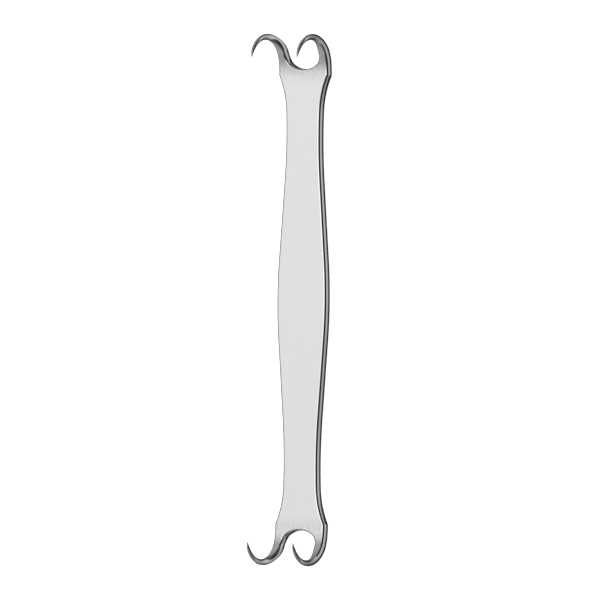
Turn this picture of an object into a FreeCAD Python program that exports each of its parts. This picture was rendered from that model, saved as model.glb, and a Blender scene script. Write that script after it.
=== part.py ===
import FreeCAD, Part
import math
import os
import Sketcher
from FreeCAD import Placement, Rotation, Vector

# A double-ended, two-pronged sharp retractor in one piece of stainless steel.
# It lies on its back: X is the width, Y the length and Z up, out of the front face.
# The origin is on the back face, halfway between the two pairs of hooks.

# Driving dimensions, in millimetres and degrees

SIZES = [
    ("overall_length", 165.0, "back of one pair of hooks to back of the other"),
    ("bar_thickness", 2.7, "front face to back face"),
    ("edge_break", 0.3, "cut taken off the long edges"),
    ("belly_width", 18.2, "width of the grip at its middle"),
    ("belly_reach", 12.5, "middle to where the swelling sides run straight"),
    ("waist_width", 12.4, "width at the narrowest places"),
    ("waist_reach", 14.4, "straight part of the sides to the narrowest place"),
    ("waist_to_shoulder", 18.4, "narrowest place to the shoulder corner"),
    ("neck_radius", 28.0, "radius of the flare between waist and shoulder"),
    ("head_width", 18.7, "width of the heads, over the outer sides of the prongs"),
    ("shoulder_radius", 0.5, "rounding of the shoulder corners"),
    ("shoulder_to_bend", 3.1, "shoulder corner to the start of the bend"),
    ("notch_to_bend", 1.1, "floor of the notch to the start of the bend"),
    ("notch_floor_radius", 9.0, "radius of the notch's floor"),
    ("notch_corner_radius", 3.8, "radius between the notch's floor and its sides"),
    ("hook_radius", 7.9, "inside radius of the hooks"),
    ("root_angle", 25.0, "turn of the bend at which the prongs part from the head"),
    ("tip_angle", 162.0, "turn of the bend at the tips"),
    ("prong_root_width", 3.1, "width of a prong where it parts from the head"),
    ("prong_point_width", 1.5, "width of a prong just before its ground point"),
    ("apex_thickness", 1.95, "thickness of a prong a quarter turn along"),
    ("point_corner_share", 0.29, "cut corners of a point, as a share of its width"),
    ("tip_size", 0.2, "width left at the very tip"),
]

doc = FreeCAD.newDocument("Retractor")
sheet = doc.addObject("Spreadsheet::Sheet", "Sizes")
for row, (alias, value, meaning) in enumerate(SIZES, start=1):
    sheet.set("A%d" % row, alias)
    sheet.set("B%d" % row, str(value))
    sheet.set("C%d" % row, meaning)
    sheet.setAlias("B%d" % row, alias)
doc.recompute()


def size(alias):
    """The present value of one driving dimension."""
    return float(sheet.get(alias))


# Places that follow from the driving dimensions, as expressions

BEND_Y = "(Sizes.overall_length / 2 - Sizes.hook_radius - Sizes.apex_thickness)"
BEND_Z = "(Sizes.bar_thickness + Sizes.hook_radius)"
SHOULDER_Y = "(" + BEND_Y + " - Sizes.shoulder_to_bend)"
WAIST_Y = "(" + SHOULDER_Y + " - Sizes.waist_to_shoulder)"
NOTCH_Y = "(" + BEND_Y + " - Sizes.notch_to_bend)"
NOTCH_HALF = "(Sizes.head_width / 2 - Sizes.prong_root_width)"

# The same places as numbers, which place each sketch's lines before its constraints are solved

bend_y = size("overall_length") / 2 - size("hook_radius") - size("apex_thickness")
bend_z = size("bar_thickness") + size("hook_radius")
shoulder_y = bend_y - size("shoulder_to_bend")
waist_y = shoulder_y - size("waist_to_shoulder")
notch_y = bend_y - size("notch_to_bend")
notch_half = size("head_width") / 2 - size("prong_root_width")

# How far a cut reaches past the steel that it removes, and what counts as no distance at all
CLEAR = 2.0
HAIR = 0.01
SLIGHT = 1e-6

# Directions, as angles anticlockwise from +X in a sketch
RIGHT = 0.0
LEFT = math.pi
DOWN = 3 * math.pi / 2

START, END, CENTRE = range(1, 4)
ORIGIN = (-1, 1)
ACROSS_AXIS = -1
UP_AXIS = ACROSS_AXIS - 1

body = doc.addObject("PartDesign::Body", "Retractor")
body.Label = "retractor"


def origin_plane(role):
    """One of the body's own origin planes, by its role."""
    return next(f for f in body.Origin.OriginFeatures if f.Role == role)


def new_sketch(name, role):
    """A sketch on one of the body's origin planes."""
    sketch = body.newObject("Sketcher::SketchObject", name)
    sketch.AttachmentSupport = [(origin_plane(role), "")]
    sketch.MapMode = "FlatFace"
    return sketch


def line(x0, y0, x1, y1):
    """A straight line between two places."""
    return Part.LineSegment(Vector(x0, y0, 0), Vector(x1, y1, 0))


def arc(x, y, radius, start, end):
    """An arc about (x, y), anticlockwise between two angles."""
    return Part.ArcOfCircle(Part.Circle(Vector(x, y, 0), Vector(0, 0, 1), radius), start, end)


def tie(sketch, kind, *where):
    """A constraint with no size of its own."""
    return sketch.addConstraint(Sketcher.Constraint(kind, *where))


def drive(sketch, kind, where, name, expression, start_value):
    """A sized constraint, bound to the sheet by its expression."""
    index = sketch.addConstraint(Sketcher.Constraint(kind, *where, start_value))
    sketch.renameConstraint(index, name)
    sketch.setExpression("Constraints." + name, expression)
    return index


def check(feature, what):
    """Stops the build if a feature failed to make what it stands for."""
    doc.recompute()
    bad = [o.Name for o in doc.Objects if "Invalid" in o.State or "Error" in o.State]
    if bad or feature.Shape.isNull() or not feature.Shape.isValid():
        raise RuntimeError("%s failed: %s" % (what, bad or feature.Name))


# Side profile: a flat bar whose two ends start to curl up


def draw_side_profile():
    """The bar seen from the side, with both bends as far as the prongs' roots."""
    sketch = new_sketch("SideProfile", "YZ_Plane")
    r, t, turn = size("hook_radius"), size("bar_thickness"), math.radians(size("root_angle"))
    across, up = math.sin(turn), math.cos(turn)
    end_in = (bend_y + r * across, bend_z - r * up)
    end_out = (bend_y + bend_z * across, bend_z - bend_z * up)
    back = sketch.addGeometry(line(-bend_y, 0, bend_y, 0))
    back_arc = sketch.addGeometry(arc(bend_y, bend_z, bend_z, DOWN, DOWN + turn))
    end = sketch.addGeometry(line(*end_out, *end_in))
    front_arc = sketch.addGeometry(arc(bend_y, bend_z, r, DOWN, DOWN + turn))
    front = sketch.addGeometry(line(bend_y, t, -bend_y, t))
    far_front_arc = sketch.addGeometry(arc(-bend_y, bend_z, r, DOWN - turn, DOWN))
    far_end = sketch.addGeometry(line(-end_in[0], end_in[1], -end_out[0], end_out[1]))
    far_back_arc = sketch.addGeometry(arc(-bend_y, bend_z, bend_z, DOWN - turn, DOWN))

    tie(sketch, "Tangent", back, END, back_arc, START)
    tie(sketch, "Coincident", back_arc, END, end, START)
    tie(sketch, "Coincident", end, END, front_arc, END)
    tie(sketch, "Tangent", front_arc, START, front, START)
    tie(sketch, "Tangent", front, END, far_front_arc, END)
    tie(sketch, "Coincident", far_front_arc, START, far_end, START)
    tie(sketch, "Coincident", far_end, END, far_back_arc, START)
    tie(sketch, "Tangent", far_back_arc, END, back, START)
    tie(sketch, "PointOnObject", back, START, ACROSS_AXIS)
    tie(sketch, "Symmetric", back, START, back, END, UP_AXIS)
    tie(sketch, "Horizontal", front)
    tie(sketch, "Coincident", back_arc, CENTRE, front_arc, CENTRE)
    tie(sketch, "Coincident", far_back_arc, CENTRE, far_front_arc, CENTRE)
    tie(sketch, "Equal", front_arc, far_front_arc)
    tie(sketch, "PointOnObject", front_arc, CENTRE, end)
    tie(sketch, "PointOnObject", far_front_arc, CENTRE, far_end)
    tie(sketch, "Horizontal", front_arc, END, far_front_arc, START)

    drive(sketch, "DistanceX", (*ORIGIN, back_arc, CENTRE), "bend_place", BEND_Y, bend_y)
    drive(sketch, "DistanceY", (back, END, front, START), "thickness", "Sizes.bar_thickness", t)
    drive(sketch, "Radius", (front_arc,), "inside_radius", "Sizes.hook_radius", r)
    drive(sketch, "Angle", (front_arc,), "root_turn", "Sizes.root_angle * 1 deg", turn)
    return sketch


# Plan outline of one long side: shoulder, flared neck, waist, straight flank and swelling belly,
# the same towards both ends. Everything between it and a line outside the steel is cut away.


def draw_side_cut():
    """What is cut off the blank along its right side."""
    sketch = new_sketch("SideCut", "XY_Plane")
    belly_half, waist_half = size("belly_width") / 2, size("waist_width") / 2
    belly_reach, waist_reach, r_neck = size("belly_reach"), size("waist_reach"), size("neck_radius")
    head_x = size("head_width") / 2
    out_x = head_x + CLEAR

    # The flank's lean is close to its drop over the straight part and half of both curves
    lean = (belly_half - waist_half) / (waist_y - (belly_reach + waist_reach) / 2)
    r_belly, r_waist = belly_reach / math.sin(lean), waist_reach / math.sin(lean)
    belly_x = belly_half - r_belly
    waist_x = waist_half + r_waist
    low = (belly_x + r_belly * math.cos(lean), belly_reach)
    high = (waist_x - r_waist * math.cos(lean), waist_y - waist_reach)

    # The neck's circle runs through the shoulder and touches the waist's from within
    reach = math.hypot(waist_x - head_x, waist_y - shoulder_y)
    rest = reach ** 2 + r_neck ** 2 - (r_waist - r_neck) ** 2
    dip = math.atan2(shoulder_y - waist_y, waist_x - head_x)
    flare = dip + math.acos(rest / (2 * reach * r_neck))
    neck_x = head_x + r_neck * math.cos(flare)
    neck_y = shoulder_y - r_neck * math.sin(flare)
    join = math.atan2(neck_y - waist_y, waist_x - neck_x)

    neck = sketch.addGeometry(arc(neck_x, neck_y, r_neck, LEFT - flare, LEFT - join))
    waist = sketch.addGeometry(arc(waist_x, waist_y, r_waist, LEFT - join, LEFT + lean))
    flank = sketch.addGeometry(line(*high, *low))
    belly = sketch.addGeometry(arc(belly_x, 0, r_belly, RIGHT - lean, RIGHT + lean))
    far_flank = sketch.addGeometry(line(low[0], -low[1], high[0], -high[1]))
    far_waist = sketch.addGeometry(arc(waist_x, -waist_y, r_waist, LEFT - lean, LEFT + join))
    far_neck = sketch.addGeometry(arc(neck_x, -neck_y, r_neck, LEFT + join, LEFT + flare))
    far_jog = sketch.addGeometry(line(head_x, -shoulder_y, out_x, -shoulder_y))
    outside = sketch.addGeometry(line(out_x, -shoulder_y, out_x, shoulder_y))
    jog = sketch.addGeometry(line(out_x, shoulder_y, head_x, shoulder_y))
    widest = sketch.addGeometry(Part.Point(Vector(belly_half, 0, 0)), True)
    narrowest = sketch.addGeometry(Part.Point(Vector(waist_half, waist_y, 0)), True)

    tie(sketch, "Tangent", neck, END, waist, START)
    tie(sketch, "Tangent", waist, END, flank, START)
    tie(sketch, "Tangent", flank, END, belly, END)
    tie(sketch, "Tangent", belly, START, far_flank, START)
    tie(sketch, "Tangent", far_flank, END, far_waist, START)
    tie(sketch, "Tangent", far_waist, END, far_neck, START)
    tie(sketch, "Coincident", far_neck, END, far_jog, START)
    tie(sketch, "Coincident", far_jog, END, outside, START)
    tie(sketch, "Coincident", outside, END, jog, START)
    tie(sketch, "Coincident", jog, END, neck, START)
    tie(sketch, "PointOnObject", belly, CENTRE, ACROSS_AXIS)
    tie(sketch, "Symmetric", waist, CENTRE, far_waist, CENTRE, ACROSS_AXIS)
    tie(sketch, "Symmetric", neck, START, far_neck, END, ACROSS_AXIS)
    tie(sketch, "Equal", waist, far_waist)
    tie(sketch, "Equal", neck, far_neck)
    tie(sketch, "Horizontal", jog)
    tie(sketch, "Horizontal", far_jog)
    tie(sketch, "Vertical", outside)
    tie(sketch, "PointOnObject", widest, START, belly)
    tie(sketch, "PointOnObject", widest, START, ACROSS_AXIS)
    tie(sketch, "PointOnObject", narrowest, START, waist)
    tie(sketch, "Horizontal", narrowest, START, waist, CENTRE)

    drive(sketch, "DistanceX", (*ORIGIN, widest, START), "belly_half",
          "Sizes.belly_width / 2", belly_half)
    drive(sketch, "DistanceX", (*ORIGIN, narrowest, START), "waist_half",
          "Sizes.waist_width / 2", waist_half)
    drive(sketch, "DistanceY", (*ORIGIN, narrowest, START), "waist_place", WAIST_Y, waist_y)
    drive(sketch, "DistanceY", (*ORIGIN, belly, END), "belly_reach", "Sizes.belly_reach", belly_reach)
    drive(sketch, "DistanceY", (waist, END, narrowest, START), "waist_reach",
          "Sizes.waist_reach", waist_reach)
    drive(sketch, "Radius", (neck,), "neck_radius", "Sizes.neck_radius", r_neck)
    drive(sketch, "DistanceX", (*ORIGIN, neck, START), "head_half", "Sizes.head_width / 2", head_x)
    drive(sketch, "DistanceY", (*ORIGIN, neck, START), "shoulder_place", SHOULDER_Y, shoulder_y)
    drive(sketch, "DistanceX", (*ORIGIN, outside, START), "outside_place",
          "Sizes.head_width / 2 + %g" % CLEAR, out_x)
    return sketch


# The rounded notch that splits a head into two prongs


def draw_notch():
    """One notch: a wide round floor, a tighter corner at each side, and straight sides."""
    sketch = new_sketch("Notch", "XY_Plane")
    r_floor, r_corner = size("notch_floor_radius"), size("notch_corner_radius")
    floor_y = notch_y + r_floor
    corner_x = notch_half - r_corner
    swing = math.asin(corner_x / (r_floor - r_corner))
    corner_y = floor_y - (r_floor - r_corner) * math.cos(swing)
    top_y = size("overall_length") / 2 + CLEAR

    floor = sketch.addGeometry(arc(0, floor_y, r_floor, DOWN - swing, DOWN + swing))
    corner = sketch.addGeometry(arc(corner_x, corner_y, r_corner, DOWN + swing, 2 * math.pi))
    wall = sketch.addGeometry(line(notch_half, corner_y, notch_half, top_y))
    top = sketch.addGeometry(line(notch_half, top_y, -notch_half, top_y))
    far_wall = sketch.addGeometry(line(-notch_half, top_y, -notch_half, corner_y))
    far_corner = sketch.addGeometry(arc(-corner_x, corner_y, r_corner, LEFT, DOWN - swing))

    tie(sketch, "Tangent", floor, END, corner, START)
    tie(sketch, "Tangent", corner, END, wall, START)
    tie(sketch, "Coincident", wall, END, top, START)
    tie(sketch, "Coincident", top, END, far_wall, START)
    tie(sketch, "Tangent", far_wall, END, far_corner, START)
    tie(sketch, "Tangent", far_corner, END, floor, START)
    tie(sketch, "PointOnObject", floor, CENTRE, UP_AXIS)
    tie(sketch, "Equal", corner, far_corner)
    tie(sketch, "Vertical", wall)
    tie(sketch, "Vertical", far_wall)
    tie(sketch, "Symmetric", top, START, top, END, UP_AXIS)

    drive(sketch, "Radius", (floor,), "floor_radius", "Sizes.notch_floor_radius", r_floor)
    drive(sketch, "Radius", (corner,), "corner_radius", "Sizes.notch_corner_radius", r_corner)
    drive(sketch, "DistanceY", (*ORIGIN, floor, CENTRE), "floor_centre",
          NOTCH_Y + " + Sizes.notch_floor_radius", floor_y)
    drive(sketch, "DistanceX", (*ORIGIN, top, START), "notch_half", NOTCH_HALF, notch_half)
    drive(sketch, "DistanceY", (*ORIGIN, top, START), "notch_top",
          "Sizes.overall_length / 2 + %g" % CLEAR, top_y)
    return sketch


def cut_through(sketch, name, mirror_role):
    """Cuts a sketch through the steel, and again on the other side of an origin plane."""
    before = body.Shape.Volume
    pocket = body.newObject("PartDesign::Pocket", name)
    pocket.Profile = sketch
    pocket.Type = "ThroughAll"
    pocket.Reversed = True
    check(pocket, name)
    once = before - pocket.Shape.Volume
    mirrored = body.newObject("PartDesign::Mirrored", name + "Mirrored")
    mirrored.Originals = [pocket]
    mirrored.MirrorPlane = (origin_plane(mirror_role), [""])
    body.Tip = mirrored
    check(mirrored, name + " mirrored")
    twice = before - mirrored.Shape.Volume
    print("%s removes %.1f cubic mm on one side, %.1f on both" % (name, once, twice))
    if once < 1.0 or abs(twice - 2 * once) > HAIR * once:
        raise RuntimeError(name + " missed the steel")


side_profile = draw_side_profile()
blank = body.newObject("PartDesign::Pad", "Blank")
blank.Profile = side_profile
blank.SideType = "Symmetric"
blank.setExpression("Length", "Sizes.head_width")
check(blank, "the blank")

cut_through(draw_side_cut(), "SideCuts", "YZ_Plane")
cut_through(draw_notch(), "Notches", "XZ_Plane")


# Dressed edges. A wall stands upright all round the plan outline, a skin is the front or the back,
# and an end is one of the four slanting faces that the prongs grow from.


def normal_of(face):
    """A face's normal at the middle of its own parameters."""
    u0, u1, v0, v1 = face.ParameterRange
    return face.normalAt((u0 + u1) / 2, (v0 + v1) / 2)


def is_wall(face):
    """Whether a face stands upright."""
    return abs(normal_of(face).z) < SLIGHT


def is_end(face):
    """Whether a face is one of the slanting ends."""
    flat = isinstance(face.Surface, Part.Plane)
    return flat and SLIGHT < abs(normal_of(face).z) < 1 - SLIGHT


def is_shoulder(edge, one, other):
    """An upright edge at the shoulder line, where neck and head meet at an angle."""
    at = edge.CenterOfMass
    in_line = abs(abs(at.y) - shoulder_y) < HAIR
    at_side = abs(abs(at.x) - size("head_width") / 2) < HAIR
    return is_wall(one) and is_wall(other) and in_line and at_side


def is_rim(edge, one, other):
    """An edge between a wall and a skin."""
    return is_wall(one) != is_wall(other) and not (is_end(one) or is_end(other))


def dress_edges(kind, name, wanted, quantity, alias):
    """A fillet or chamfer on every edge whose two neighbouring faces pass a test."""
    base = body.Tip
    names = []
    for number, edge in enumerate(base.Shape.Edges, start=1):
        faces = base.Shape.ancestorsOfType(edge, Part.Face)
        if len(faces) == 2 and wanted(edge, *faces):
            names.append("Edge%d" % number)
    dressing = body.newObject("PartDesign::" + kind, name)
    dressing.Base = (base, names)
    dressing.setExpression(quantity, "Sizes." + alias)
    check(dressing, name)
    print("%s takes in %d edges" % (name, len(names)))


dress_edges("Fillet", "ShoulderCorners", is_shoulder, "Radius", "shoulder_radius")
dress_edges("Chamfer", "LongEdges", is_rim, "Size", "edge_break")


# Prongs. Every section stands on a plane through the hook's axis, evenly spaced from root to tip.
# Its inside stays on the hook's inner circle and its outer side in line with the head's side,
# so the taper comes off the back and off the side next to the notch.

PRONG_STEPS = 12

# Higher powers make the width fall sooner after the root, and the ground point shorter
TAPER_POWER = 10
POINT_POWER = 8


def turn_at(share):
    """Turn of the bend, in degrees, at a share of the way from root to tip."""
    return "(Sizes.root_angle + (Sizes.tip_angle - Sizes.root_angle) * %s)" % share


def rootward(share):
    """One at the prong's root, falling smoothly to nothing at its tip."""
    return "(cos(90 deg * %s) ^ %d)" % (share, TAPER_POWER)


def before_grinding(share):
    """Width of a prong before its point is ground."""
    extra = "(Sizes.prong_root_width - Sizes.prong_point_width)"
    return "(Sizes.prong_point_width + %s * %s)" % (extra, rootward(share))


def bent_thickness(share):
    """Thickness of a prong before its point is ground: the bar's at the root, less as it curls."""
    fall = "cos(%s * 1 deg) / cos(Sizes.root_angle * 1 deg)" % turn_at(share)
    return "(Sizes.apex_thickness + (Sizes.bar_thickness - Sizes.apex_thickness) * %s)" % fall


def ground(full, share):
    """A width or thickness with the point ground on it, which only tells near the tip."""
    return "(Sizes.tip_size + (%s - Sizes.tip_size) * (1 - %s ^ %d))" % (full, share, POINT_POWER)


def corner_cut(share):
    """The broken edge of the bar at the root, and a share of the width at the point."""
    at_root = "Sizes.edge_break / Sizes.prong_root_width * %s" % rootward(share)
    at_point = "Sizes.point_corner_share * (1 - %s)" % rootward(share)
    return "%s * (%s + %s)" % (ground(before_grinding(share), share), at_root, at_point)


def draw_section(step):
    """A prong's section, a rectangle with its corners cut off, drawn from the hook's axis."""
    share = "(%d / %d)" % (step, PRONG_STEPS)
    full = before_grinding(share)
    width = ground(full, share)
    thickness = ground(bent_thickness(share), share)
    outer_place = "Sizes.head_width / 2 - (%s - %s) / 2" % (full, width)
    sketch = new_sketch("ProngSection%d" % step, "XY_Plane")
    sketch.AttachmentOffset = Placement(Vector(0, bend_y, bend_z), Rotation(Vector(1, 0, 0), 1))
    sketch.setExpression(".AttachmentOffset.Base.y", BEND_Y)
    sketch.setExpression(".AttachmentOffset.Base.z", BEND_Z)
    sketch.setExpression(".AttachmentOffset.Rotation.Angle", turn_at(share) + " - 90")

    x1, y0 = size("head_width") / 2, size("hook_radius")
    x0, y1 = x1 - size("prong_point_width"), y0 + size("apex_thickness")
    cut = size("point_corner_share") * size("prong_point_width")
    inside = sketch.addGeometry(line(x0 + cut, y0, x1 - cut, y0))
    outer = sketch.addGeometry(line(x1, y0 + cut, x1, y1 - cut))
    back = sketch.addGeometry(line(x1 - cut, y1, x0 + cut, y1))
    inner = sketch.addGeometry(line(x0, y1 - cut, x0, y0 + cut))
    corners = [
        sketch.addGeometry(line(x1 - cut, y0, x1, y0 + cut)),
        sketch.addGeometry(line(x1, y1 - cut, x1 - cut, y1)),
        sketch.addGeometry(line(x0 + cut, y1, x0, y1 - cut)),
        sketch.addGeometry(line(x0, y0 + cut, x0 + cut, y0)),
    ]
    sides = [inside, outer, back, inner]
    for side, corner, following in zip(sides, corners, sides[1:] + sides[:1]):
        tie(sketch, "Coincident", side, END, corner, START)
        tie(sketch, "Coincident", corner, END, following, START)
    tie(sketch, "Horizontal", inside)
    tie(sketch, "Horizontal", back)
    tie(sketch, "Vertical", outer)
    tie(sketch, "Vertical", inner)

    # The second and third corners run backwards in X, the third and fourth downwards
    for number, corner in enumerate(corners):
        onward = (corner, START, corner, END)
        returning = (corner, END, corner, START)
        across = returning if number in (1, 2) else onward
        up = returning if number in (2, 3) else onward
        drive(sketch, "DistanceX", across, "cut_across_%d" % number, corner_cut(share), cut)
        drive(sketch, "DistanceY", up, "cut_up_%d" % number, corner_cut(share), cut)
    drive(sketch, "DistanceX", (*ORIGIN, outer, START), "outer_side", outer_place, x1)
    drive(sketch, "DistanceX", (inner, START, outer, START), "width", width, x1 - x0)
    drive(sketch, "DistanceY", (*ORIGIN, inside, START), "inside", "Sizes.hook_radius", y0)
    drive(sketch, "DistanceY", (inside, START, back, START), "thickness", thickness, y1 - y0)
    return sketch


sections = [draw_section(step) for step in range(PRONG_STEPS + 1)]
prong = body.newObject("PartDesign::AdditiveLoft", "Prong")
prong.Profile = sections[0]
prong.Sections = [(section, [""]) for section in sections[1:]]
check(prong, "the prong")

# The other three prongs, mirrored to the other side and then both to the other end

prongs = body.newObject("PartDesign::MultiTransform", "Prongs")
prongs.Originals = [prong]
mirrors = []
for name, role in (("ToOtherSide", "YZ_Plane"), ("ToOtherEnd", "XZ_Plane")):
    mirror = doc.addObject("PartDesign::Mirrored", name)
    body.addObject(mirror)
    mirror.MirrorPlane = (origin_plane(role), [""])
    mirrors.append(mirror)
prongs.Transformations = mirrors
body.Tip = prongs
check(prongs, "the four prongs")

print("%d solid, %d faces, %.0f cubic mm" % (
    len(body.Shape.Solids), len(body.Shape.Faces), body.Shape.Volume))
if len(body.Shape.Solids) != 1:
    raise RuntimeError("the retractor is not one solid")
os.makedirs("parts", exist_ok=True)
body.Shape.exportStep("parts/retractor.step")
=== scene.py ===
# %% [markdown]
# # A double-ended sharp retractor
#
# The real instrument is one flat bar of stainless steel. Both ends are cut into two prongs, and the
# prongs are bent up and ground to points, so that a surgeon can hold back the edge of a wound with
# them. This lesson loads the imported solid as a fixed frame, makes a finer skin of the same shape
# with truly rounded edges, gives it a satin steel finish, and photographs it from above.

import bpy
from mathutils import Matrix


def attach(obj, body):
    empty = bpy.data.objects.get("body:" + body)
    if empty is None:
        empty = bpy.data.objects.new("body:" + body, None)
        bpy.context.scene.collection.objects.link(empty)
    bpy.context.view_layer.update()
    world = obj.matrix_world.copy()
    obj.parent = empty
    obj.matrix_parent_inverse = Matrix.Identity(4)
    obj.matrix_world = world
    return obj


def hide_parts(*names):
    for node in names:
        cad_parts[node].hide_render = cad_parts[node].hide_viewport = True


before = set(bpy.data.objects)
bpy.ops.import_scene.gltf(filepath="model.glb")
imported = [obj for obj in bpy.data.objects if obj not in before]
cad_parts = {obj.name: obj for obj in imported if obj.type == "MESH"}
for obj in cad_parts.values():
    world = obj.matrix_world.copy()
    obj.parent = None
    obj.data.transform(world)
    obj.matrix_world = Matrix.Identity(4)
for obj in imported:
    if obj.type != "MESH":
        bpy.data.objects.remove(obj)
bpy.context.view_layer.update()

# %% [markdown]
# ## Sizes
#
# The solid model's own driving sizes are repeated here in millimetres, because this file can't read
# the solid model's source. The prongs' turns are angles of the bend, counted from the flat bar. The
# skin's edges are rounder than the solid's, which would make the grip look narrower, so its belly
# and waist gain a little width. The thickness over the arch and the size of the tips differ from
# the solid's by less than a tenth of a millimetre, which keeps the skin inside its box.

# %% Sizes of the bar and its prongs
import math

import bmesh
import bpy
import numpy as np
from mathutils import Matrix, Vector

MM = 0.001
OVERALL_LENGTH = 165.0
BAR_THICKNESS = 2.7
FRONT_EDGE, BACK_EDGE, NOTCH_EDGE, WALL_CROWN = 0.65, 0.35, 0.5, math.radians(10.0)
SIDE_GAIN = 0.4
BELLY_WIDTH, BELLY_REACH = 18.2 + SIDE_GAIN, 12.5
WAIST_WIDTH, WAIST_REACH = 12.4 + SIDE_GAIN, 14.4
WAIST_TO_SHOULDER, NECK_RADIUS = 18.4, 28.0
HEAD_WIDTH, SHOULDER_RADIUS, SHOULDER_TO_BEND = 18.7, 1.1, 3.1
NOTCH_TO_BEND, NOTCH_FLOOR_RADIUS, NOTCH_CORNER_RADIUS = 1.1, 9.0, 3.8
HOOK_RADIUS = 7.9
ROOT_TURN, TIP_TURN = math.radians(25.0), math.radians(162.0)
PRONG_ROOT_WIDTH, PRONG_POINT_WIDTH = 3.1, 1.5
APEX_THICKNESS, TIP_SIZE = 1.88, 0.25
PRONG_ROUNDNESS, POINT_ROUNDNESS = 0.43, 0.47
TAPER_POWER, POINT_POWER = 10, 8

head_half = HEAD_WIDTH / 2
bend_y = OVERALL_LENGTH / 2 - HOOK_RADIUS - APEX_THICKNESS
shoulder_y = bend_y - SHOULDER_TO_BEND
waist_y = shoulder_y - WAIST_TO_SHOULDER
notch_y = bend_y - NOTCH_TO_BEND
print("bends start", round(bend_y, 2), "mm from the middle; waists at", round(waist_y, 2))

# %% [markdown]
# ## The bend
#
# The solid model's hook is a plain arc that starts at one line. Steel that is bent by hand over a
# bar curves a little before that line and a little less after it, and the light on the heads shows
# it. So here the curvature grows evenly from nothing to its full value over a short ramp, and then
# stays. The ramp would carry the hook outwards, so its radius and its start are worked out for the
# hook's side and top to stay where the solid model has them, less a hair of slack.

# %% The eased bend of the front face
EASE, SLACK = 1.0, 0.06
BEND_STEPS = 2000

step = (EASE + math.pi) / BEND_STEPS
bend_way = step * np.arange(BEND_STEPS + 1)
bend_turn = np.where(bend_way < EASE, bend_way ** 2 / (2 * EASE), bend_way - EASE / 2)
middle_turn = (bend_turn[1:] + bend_turn[:-1]) / 2
bend_forward = np.append(0.0, np.cumsum(np.cos(middle_turn))) * step
bend_rise = np.append(0.0, np.cumsum(np.sin(middle_turn))) * step
eased_radius = (2 * HOOK_RADIUS - SLACK) / np.interp(math.pi, bend_turn, bend_rise)
eased_start = bend_y + HOOK_RADIUS - SLACK / 2 - eased_radius * bend_forward.max()
print("the curve starts at", round(eased_start, 2), "mm; its radius is", round(eased_radius, 2))


# %% Places along the eased bend
def way_at_turn(turn):
    """The distance along the steel at which the bar has turned by an angle."""
    return eased_start + eased_radius * np.interp(turn, bend_turn, bend_way)


def plan_at_way(along):
    """The plan place y of a distance g along the steel: g before the bend, then the bend's own."""
    way = (along - eased_start) / eased_radius
    past_start = eased_start + eased_radius * np.interp(way, bend_way, bend_forward)
    return np.where(way < 0, along, past_start)


root_y = float(plan_at_way(way_at_turn(ROOT_TURN)))
print("the prongs' roots are at", round(root_y, 2), "mm")

# %% [markdown]
# ## The outline, drawn flat
#
# A maker blanks such an instrument flat and bends it afterwards, so the outline is drawn on the
# unrolled bar: x across, and g along, where g runs on round the bend. Only one quarter is drawn,
# and mirrors give the rest. Each path is an array whose rows hold a place and the direction that
# points out of the steel there, which the rounded edges need later.


# %% Pieces of a path
def arc_path(centre, radius, start, end, count, hollow=False):
    """Points c + r (cos a, sin a) for evenly spaced angles a, with the direction out of the steel.

    On a hollow side the steel lies outside the circle, so that direction is towards the centre.
    """
    angle = np.linspace(start, end, count)
    outward = np.stack([np.cos(angle), np.sin(angle)], axis=1)
    place = np.array(centre) + radius * outward
    return np.hstack([place, -outward if hollow else outward])


def straight_path(start, end, count):
    """Evenly spaced points from start to end; the steel lies on the left of the way there."""
    share = np.linspace(0.0, 1.0, count)[:, None]
    along = (np.array(end) - np.array(start)) / math.dist(start, end)
    place = np.array(start) + share * (np.array(end) - np.array(start))
    outward = np.broadcast_to([along[1], -along[0]], place.shape)
    return np.hstack([place, outward])


def join_paths(*pieces):
    """Puts pieces end to end, and leaves out each piece's first point after the first piece."""
    return np.vstack([pieces[0]] + [piece[1:] for piece in pieces[1:]])


# %% [markdown]
# ### The long side
#
# From the middle of the grip outwards, the side is a swelling arc, a straight flank, a hollow arc
# at the waist, a tighter hollow arc that flares to the head, a small round at the shoulder and the
# head's straight side. The flank's lean is the one angle at which the first three meet smoothly.
# With t the tangent of half the lean, half the width drops by
# curves * t + straight * 2t / (1 - t * t), which gives a cubic in t.


# %% Half of the long side
def flank_lean():
    """The lean at which belly, flank and waist meet: the smallest positive root of the cubic."""
    drop = (BELLY_WIDTH - WAIST_WIDTH) / 2
    curves = BELLY_REACH + WAIST_REACH
    straight = waist_y - curves
    roots = np.roots([-curves, drop, curves + 2 * straight, -drop])
    real = roots[np.abs(roots.imag) < 1e-9].real
    return 2 * math.atan(real[real > 0].min())


lean = flank_lean()
belly_radius = BELLY_REACH / math.sin(lean)
waist_radius = WAIST_REACH / math.sin(lean)
belly_centre = (BELLY_WIDTH / 2 - belly_radius, 0.0)
waist_centre = (WAIST_WIDTH / 2 + waist_radius, waist_y)
print("the flanks lean", round(math.degrees(lean), 2), "degrees; belly radius", round(belly_radius))

# The neck's circle runs through the shoulder corner and touches the waist's circle from within
reach = math.dist(waist_centre, (head_half, shoulder_y))
dip = math.atan2(shoulder_y - waist_y, waist_centre[0] - head_half)
rest = reach ** 2 + NECK_RADIUS ** 2 - (waist_radius - NECK_RADIUS) ** 2
flare = dip + math.acos(rest / (2 * reach * NECK_RADIUS))
neck_centre = (head_half + NECK_RADIUS * math.cos(flare),
               shoulder_y - NECK_RADIUS * math.sin(flare))
join = math.atan2(neck_centre[1] - waist_y, waist_centre[0] - neck_centre[0])

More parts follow.
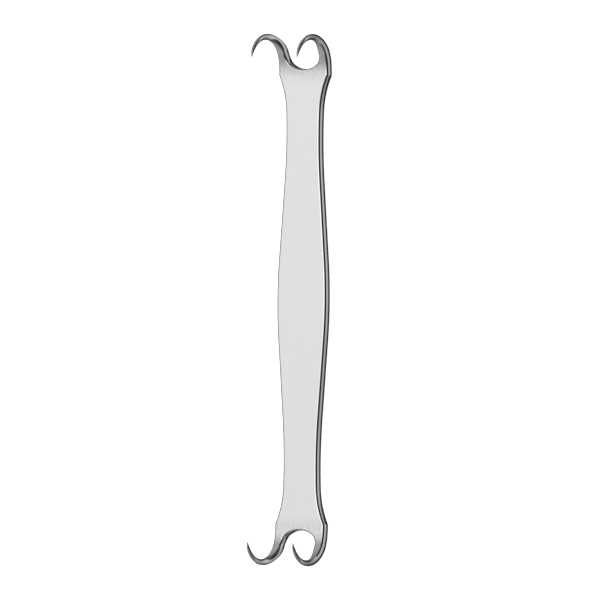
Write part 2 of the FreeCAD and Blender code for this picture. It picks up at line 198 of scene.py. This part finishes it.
# The shoulder's round touches the neck's circle and the head's side from inside the steel
shoulder_x = head_half - SHOULDER_RADIUS
rise = math.sqrt((NECK_RADIUS + SHOULDER_RADIUS) ** 2 - (neck_centre[0] - shoulder_x) ** 2)
shoulder_centre = (shoulder_x, neck_centre[1] + rise)
shoulder_swing = math.atan2(rise, neck_centre[0] - shoulder_x)
print("the neck flares", round(math.degrees(shoulder_swing), 1), "degrees at the shoulder")

# %% [markdown]
# ### Where the rows go
#
# The skin's rows cross from an inner path to this outer one. Beside the grip the inner path is the
# centre line, and from the notch on it is the notch's own edge. So the outer path is cut at one
# place a little below the shoulder: rows before it end on the centre line, rows after it end on
# the notch.

# %% The outer path as far as the prong's root
SPLIT_Y = 66.0
BELLY_POINTS, FLANK_POINTS, WAIST_POINTS, NECK_POINTS = 15, 18, 24, 20
SHOULDER_POINTS, HEAD_SIDE_POINTS = 9, 44
split_turn = math.asin((SPLIT_Y - neck_centre[1]) / NECK_RADIUS)

below_split = join_paths(
    arc_path(belly_centre, belly_radius, 0.0, lean, BELLY_POINTS),
    straight_path(
        (belly_centre[0] + belly_radius * math.cos(lean), BELLY_REACH),
        (waist_centre[0] - waist_radius * math.cos(lean), waist_y - WAIST_REACH), FLANK_POINTS),
    arc_path(waist_centre, waist_radius, math.pi + lean, math.pi - join, WAIST_POINTS, hollow=True),
    arc_path(neck_centre, NECK_RADIUS, math.pi - join, math.pi - split_turn, NECK_POINTS,
             hollow=True),
)
above_split = join_paths(
    arc_path(neck_centre, NECK_RADIUS, math.pi - split_turn, math.pi - shoulder_swing, NECK_POINTS,
             hollow=True),
    arc_path(shoulder_centre, SHOULDER_RADIUS, -shoulder_swing, 0.0, SHOULDER_POINTS),
    straight_path((head_half, shoulder_centre[1]), (head_half, root_y), HEAD_SIDE_POINTS),
)
print("outer path:", len(below_split), "rows to the split and", len(above_split), "to the root")

# %% [markdown]
# ### The notch
#
# The notch between the prongs has a wide round floor, a tighter corner at each side and a short
# straight wall. The steel is outside all of these circles, so they count as hollow.

# %% The notch's edge as far as the prong's root
FLOOR_POINTS = 36
notch_half = head_half - PRONG_ROOT_WIDTH
floor_centre = (0.0, notch_y + NOTCH_FLOOR_RADIUS)
corner_x = notch_half - NOTCH_CORNER_RADIUS
swing = math.asin(corner_x / (NOTCH_FLOOR_RADIUS - NOTCH_CORNER_RADIUS))
corner_y = floor_centre[1] - (NOTCH_FLOOR_RADIUS - NOTCH_CORNER_RADIUS) * math.cos(swing)
DOWN = -math.pi / 2

# The wall has its steel on the right of the way, so its direction out is turned round
notch_edge = join_paths(
    arc_path(floor_centre, NOTCH_FLOOR_RADIUS, DOWN, DOWN + swing, FLOOR_POINTS, hollow=True),
    arc_path((corner_x, corner_y), NOTCH_CORNER_RADIUS, DOWN + swing, 0.0,
             len(above_split) - FLOOR_POINTS, hollow=True),
    straight_path((notch_half, corner_y), (notch_half, root_y), 2) * [1, 1, -1, -1],
)
print("notch edge:", len(notch_edge), "rows, the same as the outer path has there")

# %% [markdown]
# ### Unrolling
#
# Those paths were drawn in plan, seen from above. Past the start of the bend a step in plan is a
# longer step along the steel, so g is read backwards from a fine table of plan places, which ends
# well past the prong's root.

# %% From plan to unrolled
UNROLL_STEPS = 20000


def unrolled(path):
    """The same path with y replaced by the g that lies above it."""
    steps = np.linspace(0.0, float(way_at_turn(2 * ROOT_TURN)), UNROLL_STEPS)
    along = np.interp(path[:, 1], plan_at_way(steps), steps)
    return np.column_stack([path[:, 0], along, path[:, 2:]])


# %% [markdown]
# ## The prongs
#
# A prong narrows soon after its root, then keeps a slender, nearly even width, and only its last
# few millimetres are ground to a point. Its inner face follows the eased bend, so the thickness
# comes off the back. The laws of width and thickness are the solid model's. A last few rows past
# the tip close it with a tiny round end.

# %% Width, thickness and place along a prong
PRONG_ROWS, CAP_ROWS = 110, 6
TIP_CROWDING = 1.5


def prong_rows():
    """Rows from just past the root to the tip, in shares u of the way, closer together at the tip.

    width = tip + (point + (root - point) * cos(90 u)^10 - tip) * (1 - u^8), and the thickness is
    ground in the same way from apex + (bar - apex) * cos(turn) / cos(root turn). The long edges'
    radius is a share of the width that grows towards the tip, where the section is almost round,
    and it never passes a share of the thickness.
    """
    share = 1 - (1 - np.linspace(0.0, 1.0, PRONG_ROWS + 1)[1:]) ** TIP_CROWDING
    turn = ROOT_TURN + (TIP_TURN - ROOT_TURN) * share
    rootward = np.cos(share * math.pi / 2) ** TAPER_POWER
    ground = 1 - share ** POINT_POWER
    full = PRONG_POINT_WIDTH + (PRONG_ROOT_WIDTH - PRONG_POINT_WIDTH) * rootward
    bent = APEX_THICKNESS + (BAR_THICKNESS - APEX_THICKNESS) * np.cos(turn) / math.cos(ROOT_TURN)
    width = TIP_SIZE + (full - TIP_SIZE) * ground
    thickness = TIP_SIZE + (bent - TIP_SIZE) * ground
    roundness = FRONT_EDGE / PRONG_ROOT_WIDTH * rootward + PRONG_ROUNDNESS * (1 - rootward)
    roundness = roundness * ground + POINT_ROUNDNESS * (1 - ground)
    middle = head_half - full / 2
    radius = np.minimum(width * roundness, thickness * POINT_ROUNDNESS)
    back = radius * (1 - rootward * (1 - BACK_EDGE / FRONT_EDGE))
    return turn, middle, width, thickness, radius, back


def with_cap(turn, middle, *sizes):
    """Adds rows past the tip whose size falls as the cosine and whose place goes on as the sine."""
    quarter = np.linspace(0.0, math.pi / 2, CAP_ROWS + 1)[1:]
    onward = turn[-1] + TIP_SIZE / 2 * np.sin(quarter) / eased_radius
    shrink = np.cos(quarter)
    shrink[-1] = 0.0
    return [np.append(turn, onward), np.append(middle, np.full(CAP_ROWS, middle[-1])),
            *[np.append(size, size[-1] * shrink) for size in sizes]]


turn, middle, width, thickness, radius, back = with_cap(*prong_rows())
lift = (thickness[PRONG_ROWS - 1] - thickness).clip(0.0) / 2
half_way = np.interp((ROOT_TURN + TIP_TURN) / 2, turn, width)
print("a prong is", round(width[0], 2), "mm wide at its root and", round(half_way, 2), "half way")

# %% [markdown]
# ## Both paths, whole
#
# Now each path goes on along the prong: the outer one on its outer side and the inner one on the
# side next to the notch. Four more numbers belong to every row: the steel's thickness there, the
# radii of its front and back edges, and how deep the front lies, which only the tip's round end
# needs. A belt can't get into the notch, so its front edge was filed and is less round.

# %% Outer and inner path, and the numbers of each row
NOTCH_EDGE_POWER = 3

prong_along = way_at_turn(turn)
ones, zeros = np.ones_like(turn), np.zeros_like(turn)
prong_outer = np.column_stack([middle + width / 2, prong_along, ones, zeros])
prong_inner = np.column_stack([middle - width / 2, prong_along, -ones, zeros])

outer = np.vstack([unrolled(join_paths(below_split, above_split)), prong_outer])
inner = np.vstack([unrolled(notch_edge), prong_inner])
body_rows = len(outer) - len(inner)
bar_rows = len(outer) - len(turn)

notch_share = np.linspace(0.0, 1.0, len(notch_edge)) ** NOTCH_EDGE_POWER
outer_front = np.append(np.full(bar_rows, FRONT_EDGE), radius)
outer_back = np.append(np.full(bar_rows, BACK_EDGE), back)
inner_front = np.append(NOTCH_EDGE + (FRONT_EDGE - NOTCH_EDGE) * notch_share, radius)
inner_back = outer_back[body_rows:]
row_thickness = np.append(np.full(bar_rows, BAR_THICKNESS), thickness)
row_lift = np.append(np.zeros(bar_rows), lift)
print(len(outer), "rows, of which the last", len(inner), "have an edge on the notch's side")

# %% [markdown]
# ## Rounded edges
#
# Real steel has no sharp long edges, and its sides aren't quite flat: they are ground on a soft
# belt, which leaves them a little crowned, and the corners are buffed to a round. That draws the
# thin bright and dark lines beside each face. A rim is a profile carried along a path: a small
# circle from the front face, a very wide one over the side, and a small one to the back face, all
# meeting smoothly. The profile's own variable is b, how far the surface has turned away from the
# front.

# %% The rim's profile
ARC_STEPS, WALL_STEPS = 8, 6
front_turn = np.linspace(0.0, math.pi / 2 - WALL_CROWN, ARC_STEPS)
wall_turn = np.linspace(math.pi / 2 - WALL_CROWN, math.pi / 2 + WALL_CROWN, WALL_STEPS + 2)[1:-1]


def rim(path, front, back, rows):
    """Carries the profile along a path, as an array of x, g and depth below the front face.

    With r a small circle's radius, c the crown's angle and R the wide circle's radius
    (thickness - (front r + back r) (1 - sin c)) / (2 sin c): on a small circle the inset is
    R (1 - cos c) + r (cos c - sin b), and the depth r (1 - cos b) from its own face; on the wide
    one they are R (1 - sin b) and front r (1 - sin c) + R (sin c - cos b).
    """
    sine, cosine = math.sin(WALL_CROWN), math.cos(WALL_CROWN)
    front, back, thick = front[:, None], back[:, None], row_thickness[rows][:, None]
    wide = (thick - (front + back) * (1 - sine)) / (2 * sine)
    corner_inset, corner_depth = cosine - np.sin(front_turn), 1 - np.cos(front_turn)
    inset = np.hstack([wide * (1 - cosine) + front * corner_inset, wide * (1 - np.sin(wall_turn)),
                       wide * (1 - cosine) + back * corner_inset[::-1]])
    depth = np.hstack([front * corner_depth, front * (1 - sine) + wide * (sine - np.cos(wall_turn)),
                       thick - back * corner_depth[::-1]]) + row_lift[rows][:, None]
    across = path[:, 0, None] - path[:, 2, None] * inset
    along = path[:, 1, None] - path[:, 3, None] * inset
    return np.stack([across, along, depth], axis=-1)


outer_rim = rim(outer, outer_front, outer_back, slice(None))
inner_rim = rim(inner, inner_front, inner_back, slice(body_rows, None))
print("rims:", outer_rim.shape[:2], "and", inner_rim.shape[:2], "points")

# %% [markdown]
# ## Front and back faces
#
# Each face is a ruled grid: every row is a straight line on the unrolled bar, from the inner path's
# rim to the outer path's rim. Its columns crowd together at both ends, so that the face is shaded
# evenly up to its rounded edges.

# %% Ruled faces between the rims
COLUMN_SHARES = np.array([0.0, 0.012, 0.05, 0.14, 0.28, 0.43, 0.57, 0.72, 0.86, 0.95, 0.988, 1.0])


def inner_border(column):
    """Where the face's rows start: on the centre line beside the grip, then on the notch's rim."""
    notch_start = inner_rim[0, column, 1]
    centre = np.zeros((body_rows, 3))
    centre[:, 1] = outer[:body_rows, 1] * notch_start / outer[body_rows, 1]
    centre[:, 2] = outer_rim[:body_rows, column, 2]
    return np.vstack([centre, inner_rim[:, column]])


def face_grid(column):
    """(1 - c) * inner border + c * outer border, for each row and each column share c."""
    start, end = inner_border(column)[:, None], outer_rim[:, column][:, None]
    share = COLUMN_SHARES[None, :, None]
    return (1 - share) * start + share * end


front_face, back_face = face_grid(0), face_grid(-1)
print("faces:", front_face.shape[:2], "points each")

# %% [markdown]
# ## Bending
#
# Everything so far is flat. The front face follows the table of the bend, and a point at depth h
# lies that far behind the front face, square to it.


# %% Wrap the flat quarter round the hook's axis
def bent(grid):
    """y = plan(g) + h sin a and z = thickness + rise(g) - h cos a, where a is the turn at g."""
    across, along, depth = grid[..., 0], grid[..., 1], grid[..., 2]
    way = (along - eased_start) / eased_radius
    angle = np.interp(way, bend_way, bend_turn)
    front_z = BAR_THICKNESS + eased_radius * np.interp(way, bend_way, bend_rise)
    return np.stack([across, plan_at_way(along) + depth * np.sin(angle),
                     front_z - depth * np.cos(angle)], axis=-1)


grids = [front_face, outer_rim, back_face, inner_rim]
print("highest point", round(max(bent(grid)[..., 2].max() for grid in grids), 2), "mm")

# %% [markdown]
# ## One closed mesh
#
# The four grids of a quarter are mirrored to both sides and both ends, put into one mesh, and
# welded where their borders meet. Each point also keeps its unrolled place, so that the steel's
# grain can follow the bend, and a number that says whether it is on a face or on a rim.


# %% Faces of a grid
def grid_quads(rows, columns, first):
    """Corner numbers of the quads of a grid whose points are numbered row by row from first."""
    corner = first + np.arange(rows * columns).reshape(rows, columns)
    quads = [corner[:-1, :-1], corner[1:, :-1], corner[1:, 1:], corner[:-1, 1:]]
    return np.stack(quads, axis=-1).reshape(-1, 4)


def rim_share(grid):
    """0 on a face and 1 on a rim, as one number per point."""
    on_rim = grid.shape[1] == 2 * ARC_STEPS + WALL_STEPS
    return np.full(grid.shape[0] * grid.shape[1], float(on_rim))


# %% Weld the mirrored quarters into one mesh
WELD_DISTANCE, SHORTEST_EDGE = 0.002 * MM, 0.0005 * MM


def quarter_arrays():
    """Points, unrolled places, rim numbers and quads of the quarter, from its four grids."""
    points = np.vstack([bent(grid).reshape(-1, 3) for grid in grids])
    flat = np.vstack([grid.reshape(-1, 3) for grid in grids])
    rims = np.concatenate([rim_share(grid) for grid in grids])
    firsts = np.cumsum([0] + [grid.shape[0] * grid.shape[1] for grid in grids[:-1]])
    quads = np.vstack([grid_quads(*grid.shape[:2], first) for grid, first in zip(grids, firsts)])
    return points, flat, rims, quads


def mirrored_arrays():
    """The quarter and its mirror images, with signs changed in x, in y, and in both."""
    points, flat, rims, quads = quarter_arrays()
    signs = [(1, 1, 1), (-1, 1, 1), (1, -1, 1), (-1, -1, 1)]
    all_points = np.vstack([points * sign for sign in signs]) * MM
    all_flat = np.vstack([flat * sign for sign in signs])
    all_quads = np.vstack([quads + number * len(points) for number in range(len(signs))])
    return all_points, all_flat, np.tile(rims, len(signs)), all_quads


def welded_mesh(name):
    """A closed mesh of the mirrored quarters, welded at their borders, with its faces outwards."""
    points, flat, rims, quads = mirrored_arrays()
    mesh = bpy.data.meshes.new(name)
    mesh.from_pydata(points.tolist(), [], quads.tolist())
    places = mesh.attributes.new("unrolled", "FLOAT_VECTOR", "POINT")
    places.data.foreach_set("vector", flat.ravel())
    rim_numbers = mesh.attributes.new("rim", "FLOAT", "POINT")
    rim_numbers.data.foreach_set("value", rims)
    work = bmesh.new()
    work.from_mesh(mesh)
    bmesh.ops.remove_doubles(work, verts=work.verts, dist=WELD_DISTANCE)
    bmesh.ops.dissolve_degenerate(work, edges=work.edges, dist=SHORTEST_EDGE)
    bmesh.ops.recalc_face_normals(work, faces=work.faces)
    open_edges = sum(not edge.is_manifold for edge in work.edges)
    volume = work.calc_volume() / MM ** 3
    work.to_mesh(mesh)
    work.free()
    mesh.polygons.foreach_set("use_smooth", np.ones(len(mesh.polygons), bool))
    print(len(mesh.polygons), "faces,", open_edges, "open edges,", round(volume), "cubic mm")
    return mesh


steel_body = bpy.data.objects.new("retractor_body", welded_mesh("retractor_body"))
bpy.context.scene.collection.objects.link(steel_body)
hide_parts("retractor")
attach(steel_body, "root")

# %% [markdown]
# ## Steel
#
# The instrument is stainless steel, which is a metal all through, so one shader carries it and the
# finish is in its roughness and its tiny bumps. Three finishes meet on the real one: a fine satin
# along the grip, from a belt that ran lengthwise; heads and prongs that were ground by hand after
# bending, with small uneven patches; and edges that were buffed until they shine. The points are
# painted a darker grey. That is painted shade, a dark reflection put into the colour, since the
# real points are the same steel. All patterns follow the unrolled places kept in the mesh, so they
# run on round the bend without stretching.

# %% Small helpers for node trees
STEEL_COLOUR = (0.668, 0.67, 0.672, 1.0)


def node(tree, kind, **inputs):
    """A new node with its inputs set; a name's underscores stand for spaces."""
    made = tree.nodes.new(kind)
    for name, value in inputs.items():
        made.inputs[name.replace("_", " ")].default_value = value
    return made


def stretched_noise(tree, place, stretch, detail):
    """Noise on a place times a stretch, so that a small number draws the pattern out that way."""
    scaled = node(tree, "ShaderNodeVectorMath")
    scaled.operation = "MULTIPLY"
    scaled.inputs[1].default_value = stretch
    tree.links.new(place, scaled.inputs[0])
    noise = node(tree, "ShaderNodeTexNoise", Scale=1.0, Detail=detail)
    tree.links.new(scaled.outputs[0], noise.inputs["Vector"])
    return noise.outputs["Fac"]


def between(tree, source, low, high):
    """Turns 0 to 1 into low to high; either end may be a number or another node's output."""
    blend = node(tree, "ShaderNodeMix")
    blend.data_type = "FLOAT"
    tree.links.new(source, blend.inputs["Factor"])
    for name, end in (("A", low), ("B", high)):
        if isinstance(end, (int, float)):
            blend.inputs[name].default_value = end
        else:
            tree.links.new(end, blend.inputs[name])
    return blend.outputs["Result"]


# %% Where the steel was ground by hand
GROUND_FROM, GROUND_TO = 66.5, 72.0
# Painted shade: over this span the colour darkens to a darker grey at the points, which stands in
# for the dark reflection they show.
TIP_SHADE_FROM, TIP_SHADE_TO = 87.0, 95.5
PAINTED_TIP_SHADE_COLOUR = (0.36, 0.36, 0.365, 1.0)


def share_beyond(tree, place, start, end):
    """A smooth step from 0 to 1 of the distance along the steel from the middle, in mm."""
    parts = node(tree, "ShaderNodeSeparateXYZ")
    tree.links.new(place, parts.inputs[0])
    distance = node(tree, "ShaderNodeMath")
    distance.operation = "ABSOLUTE"
    tree.links.new(parts.outputs["Y"], distance.inputs[0])
    step = node(tree, "ShaderNodeMapRange")
    step.interpolation_type = "SMOOTHSTEP"
    step.inputs["From Min"].default_value = start
    step.inputs["From Max"].default_value = end
    tree.links.new(distance.outputs[0], step.inputs["Value"])
    return step.outputs["Result"]


# %% The steel itself
SATIN_STRETCH, GROUND_STRETCH = (7.0, 0.07, 7.0), (1.2, 0.6, 1.2)
SATIN_DETAIL, GROUND_DETAIL = 4.0, 2.0
SATIN_ROUGHNESS, GROUND_ROUGHNESS, EDGE_ROUGHNESS = (0.17, 0.25), (0.14, 0.46), 0.08
SATIN_BUMP, GROUND_BUMP, EDGE_BUMP = 0.25, 1.0, 0.05
BUMP_HEIGHT = 0.012 * MM

# A mix node's colour sockets go by number, because its other kinds of socket have the same names
COLOUR_A, COLOUR_B, COLOUR_RESULT = 6, 7, 2


def surgical_steel():
    """Satin, hand-ground and buffed steel in one material, told apart by place and by rim."""
    material = bpy.data.materials.new("surgical_steel")
    material.use_nodes = True
    tree = material.node_tree
    shader = tree.nodes["Principled BSDF"]
    shader.inputs["Metallic"].default_value = 1.0

    place = node(tree, "ShaderNodeAttribute")
    place.attribute_name = "unrolled"
    rim_number = node(tree, "ShaderNodeAttribute")
    rim_number.attribute_name = "rim"
    satin = stretched_noise(tree, place.outputs["Vector"], SATIN_STRETCH, SATIN_DETAIL)
    patches = stretched_noise(tree, place.outputs["Vector"], GROUND_STRETCH, GROUND_DETAIL)
    ground = share_beyond(tree, place.outputs["Vector"], GROUND_FROM, GROUND_TO)
    painted_tip_shade = share_beyond(tree, place.outputs["Vector"], TIP_SHADE_FROM, TIP_SHADE_TO)

    # Painted shade: the base colour darkens towards the points, which stands in for a dark
    # reflection.
    colour = node(tree, "ShaderNodeMix")
    colour.data_type = "RGBA"
    tree.links.new(painted_tip_shade, colour.inputs["Factor"])
    colour.inputs[COLOUR_A].default_value = STEEL_COLOUR
    colour.inputs[COLOUR_B].default_value = PAINTED_TIP_SHADE_COLOUR
    tree.links.new(colour.outputs[COLOUR_RESULT], shader.inputs["Base Color"])

    satin_rough = between(tree, satin, *SATIN_ROUGHNESS)
    ground_rough = between(tree, patches, *GROUND_ROUGHNESS)
    face_rough = between(tree, ground, satin_rough, ground_rough)
    rough = between(tree, rim_number.outputs["Fac"], face_rough, EDGE_ROUGHNESS)
    tree.links.new(rough, shader.inputs["Roughness"])

    bump = node(tree, "ShaderNodeBump", Distance=BUMP_HEIGHT)
    tree.links.new(between(tree, ground, satin, patches), bump.inputs["Height"])
    face_bump = between(tree, ground, SATIN_BUMP, GROUND_BUMP)
    bumpiness = between(tree, rim_number.outputs["Fac"], face_bump, EDGE_BUMP)
    tree.links.new(bumpiness, bump.inputs["Strength"])
    tree.links.new(bump.outputs["Normal"], shader.inputs["Normal"])
    print("steel has", len(tree.nodes), "nodes")
    return material


steel_body.data.materials.append(surgical_steel())

# %% [markdown]
# ## Floor
#
# The photograph has a plain white ground without a shadow. A matt white floor just under the bar's
# back does that, with a light of its own that hides the shadows of the prongs. It isn't seen in the
# steel, because the real one was held clear of any table, and it is clear from below, so that the
# back of the bar can be looked at.

# %% A white floor
FLOOR_HALF, FLOOR_DROP, FLOOR_GLOW = 3.0, 0.02 * MM, 0.95
FLOOR_WHITE, FLOOR_ROUGHNESS = (0.9, 0.9, 0.9, 1.0), 0.9


def white_floor_paint():
    """A matt white that glows, mixed with clear wherever the floor is seen from its back."""
    material = bpy.data.materials.new("white_floor_paint")
    material.use_nodes = True
    tree = material.node_tree
    paint = tree.nodes["Principled BSDF"]
    paint.inputs["Base Color"].default_value = FLOOR_WHITE
    paint.inputs["Roughness"].default_value = FLOOR_ROUGHNESS
    paint.inputs["Specular IOR Level"].default_value = 0.0
    paint.inputs["Emission Color"].default_value = (1.0, 1.0, 1.0, 1.0)
    paint.inputs["Emission Strength"].default_value = FLOOR_GLOW
    clear = node(tree, "ShaderNodeBsdfTransparent")
    side = node(tree, "ShaderNodeNewGeometry")
    one_sided = node(tree, "ShaderNodeMixShader")
    tree.links.new(side.outputs["Backfacing"], one_sided.inputs[0])
    tree.links.new(paint.outputs[0], one_sided.inputs[1])
    tree.links.new(clear.outputs[0], one_sided.inputs[2])
    tree.links.new(one_sided.outputs[0], tree.nodes["Material Output"].inputs["Surface"])
    return material


corners = np.array([(-1, -1, 0), (1, -1, 0), (1, 1, 0), (-1, 1, 0)]) * FLOOR_HALF
floor_mesh = bpy.data.meshes.new("floor")
floor_mesh.from_pydata((corners - [0, 0, FLOOR_DROP]).tolist(), [], [(0, 1, 2, 3)])
floor_mesh.materials.append(white_floor_paint())
floor = bpy.data.objects.new("floor", floor_mesh)
bpy.context.scene.collection.objects.link(floor)
floor.visible_glossy = False
print("floor is", 2 * FLOOR_HALF, "m wide")

# %% [markdown]
# ## Studio light
#
# Metal shows little but what it mirrors, so lighting it means painting the room around it. Small
# instruments are photographed in a tent: soft white all round, with dark cards to draw the edges.
# Here the tent is the world's colour. It is told by two numbers of each direction: the angle round
# the bar's long axis, 0 straight up and positive to the right, and y, how far the direction points
# along the bar. One ramp of light serves the long sides, another the bent ends, and a third says
# how y goes from one to the other. Two soft lamps stand beyond the ends.

# %% Ramps of light
SIDES = [(-180, 0.02), (-140, 0.05), (-120, 0.3), (-90, 0.35), (-78, 0.22), (-68, 0.01),
         (-51, 0.01), (-46, 0.12), (-42, 1.28), (-28, 1.32), (-20, 1.5), (-13, 2.6), (-8, 1.05),
         (5, 1.05), (9, 2.6), (14, 2.6), (19, 0.8), (24, 0.01), (70, 0.01), (73, 0.2), (77, 0.2),
         (80, 0.01), (120, 0.01), (127, 0.8), (137, 0.7), (146, 0.25), (151, 0.02), (180, 0.02)]
ENDS = [(-180, 0.02), (-150, 0.02), (-136, 0.2), (-120, 0.3), (-92, 0.3), (-60, 0.34),
        (-40, 0.5), (-27, 0.42), (-14, 0.3), (0, 0.3), (14, 0.1), (24, 0.01), (62, 0.01),
        (66, 0.18), (72, 0.18), (76, 0.01), (118, 0.01), (126, 0.5), (139, 0.38), (148, 0.1),
        (153, 0.01), (180, 0.01)]
ENDWARD = [(-1.0, 1.0), (-0.3, 1.0), (-0.2, 0.82), (-0.1, 0.5), (0.0, 0.0), (0.08, 0.0), (0.4, 0.5),
           (0.7, 1.0), (1.0, 1.0)]
END_LAMPS = [(-1.0, 0.25), (-0.97, 0.04), (-0.86, 0.04), (-0.8, 0.16), (-0.72, 0.16), (-0.62, 0.0),
             (0.62, 0.0), (0.72, 0.16), (0.8, 0.16), (0.86, 0.04), (0.97, 0.04), (1.0, 0.25)]
BRIGHTEST = 3.0

# %% The tent as a world
world = bpy.data.worlds.new("light_tent")
bpy.context.scene.world = world
world.use_nodes = True
tent = world.node_tree
direction = node(tent, "ShaderNodeTexCoord")
parts = node(tent, "ShaderNodeSeparateXYZ")
tent.links.new(direction.outputs["Generated"], parts.inputs[0])
round_bar = node(tent, "ShaderNodeMath")
round_bar.operation = "ARCTAN2"
tent.links.new(parts.outputs["X"], round_bar.inputs[0])
tent.links.new(parts.outputs["Z"], round_bar.inputs[1])


def light_ramp(source, low, high, stops, top):
    """A ramp over a source from low to high; each stop is a place and a level up to top."""
    span = node(tent, "ShaderNodeMapRange")
    span.inputs["From Min"].default_value = low
    span.inputs["From Max"].default_value = high
    tent.links.new(source, span.inputs["Value"])
    ramp = node(tent, "ShaderNodeValToRGB")
    tent.links.new(span.outputs["Result"], ramp.inputs["Fac"])
    elements = ramp.color_ramp.elements
    elements.remove(elements[-1])
    for number, (place, level) in enumerate(stops):
        at = (place - low) / (high - low)
        element = elements[0] if number == 0 else elements.new(at)
        element.position = at
        element.color = (level / top, level / top, level / top, 1.0)
    return ramp.outputs["Color"]


round_turns = [[(math.radians(angle), level) for angle, level in stops] for stops in (SIDES, ENDS)]
sides, ends = [light_ramp(round_bar.outputs[0], -math.pi, math.pi, stops, BRIGHTEST)
               for stops in round_turns]
endward = light_ramp(parts.outputs["Y"], -1.0, 1.0, ENDWARD, 1.0)
end_lamps = light_ramp(parts.outputs["Y"], -1.0, 1.0, END_LAMPS, BRIGHTEST)
mixed = between(tent, endward, sides, ends)
total = node(tent, "ShaderNodeMath")
total.operation = "ADD"
tent.links.new(mixed, total.inputs[0])
tent.links.new(end_lamps, total.inputs[1])
background = tent.nodes["Background"]
tent.links.new(total.outputs[0], background.inputs["Color"])
background.inputs["Strength"].default_value = BRIGHTEST
print("the tent has", len(SIDES) + len(ENDS), "stops round the bar")

# %% [markdown]
# ## Camera
#
# The photograph looks down on the retractor from its right, 35 degrees off the vertical, and so
# nearly without perspective that a far camera with a long lens is right. How many pixels a
# millimetre takes then sets the lens, and a slight tilt and roll line up both ends. Standard view
# transform keeps the white ground white.

# %% A far camera with a long lens
SIDE_ANGLE, END_ANGLE, ROLL = math.radians(35.0), math.radians(0.5), math.radians(0.5)
PIXELS_PER_MM, PICTURE_WIDTH, DISTANCE = 3.22, 600, 5.0
SHIFT_RIGHT, SHIFT_UP = 0.9, 0.2  # in pixels
CLIP_START, CLIP_END = 0.1, 50.0

towards_camera = Vector((math.sin(SIDE_ANGLE) * math.cos(END_ANGLE), math.sin(END_ANGLE),
                         math.cos(SIDE_ANGLE) * math.cos(END_ANGLE)))
level_up = (Vector((0, 1, 0)) - towards_camera.y * towards_camera).normalized()
level_right = level_up.cross(towards_camera)
camera_right = math.cos(ROLL) * level_right + math.sin(ROLL) * level_up
camera_up = math.cos(ROLL) * level_up - math.sin(ROLL) * level_right
shift = (SHIFT_RIGHT * camera_right + SHIFT_UP * camera_up) / PIXELS_PER_MM
aim = Vector((0, 0, BAR_THICKNESS)) - shift

lens = bpy.data.cameras.new("camera")
lens.lens = lens.sensor_width * DISTANCE * PIXELS_PER_MM / (PICTURE_WIDTH * MM)
lens.clip_start, lens.clip_end = CLIP_START, CLIP_END
camera = bpy.data.objects.new("camera", lens)
camera.matrix_world = (Matrix.Translation(aim * MM + towards_camera * DISTANCE)
                       @ Matrix((camera_right, camera_up, towards_camera)).transposed().to_4x4())
bpy.context.scene.collection.objects.link(camera)
bpy.context.scene.camera = camera
bpy.context.scene.view_settings.view_transform = "Standard"
print("lens of", round(lens.lens), "mm at", DISTANCE, "m")
